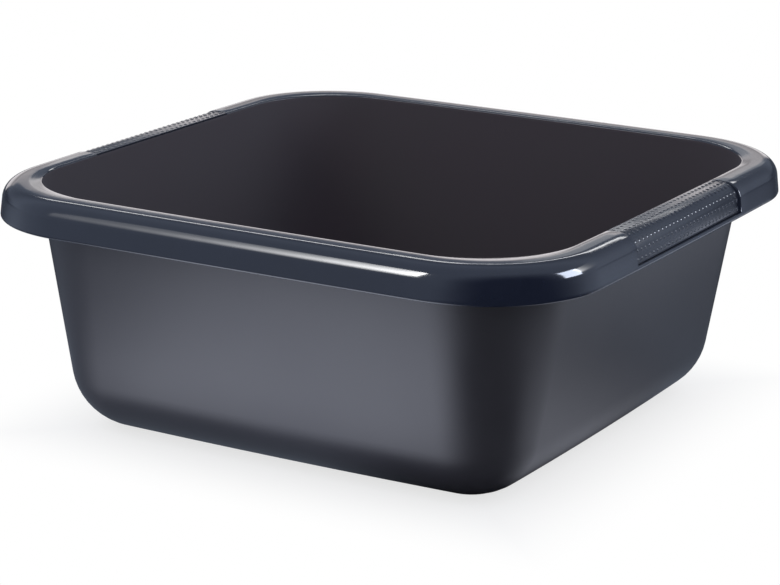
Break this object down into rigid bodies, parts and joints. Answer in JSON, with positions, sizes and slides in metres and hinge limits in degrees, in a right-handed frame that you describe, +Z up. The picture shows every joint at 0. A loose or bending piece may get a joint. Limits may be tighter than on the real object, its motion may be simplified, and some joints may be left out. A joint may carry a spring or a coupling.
{
  "type": "washing up bowl",
  "caption": "Square washing up bowl: a drafted satin tub with rounded corners, a hollow glossy rim, and a dotted hand grip let into the rim on opposite sides.",
  "frame": {"origin": "middle of the flat ring that the bowl stands on", "axes": "+Z up out of the mouth, the grips at +X and -X, plain sides at +Y and -Y"},
  "size_m": [0.345, 0.345, 0.1354],
  "materials": {
    "satin_tub": "fine satin moulding, dark blue grey",
    "gloss_rim": "polished moulding, dark blue grey",
    "grip_pad": "dotted moulding, dark blue grey"
  },
  "bodies": {
    "root": {"tub": "satin_tub", "rim": "gloss_rim", "right_grip": "grip_pad", "left_grip": "grip_pad"}
  },
  "joints": []
}
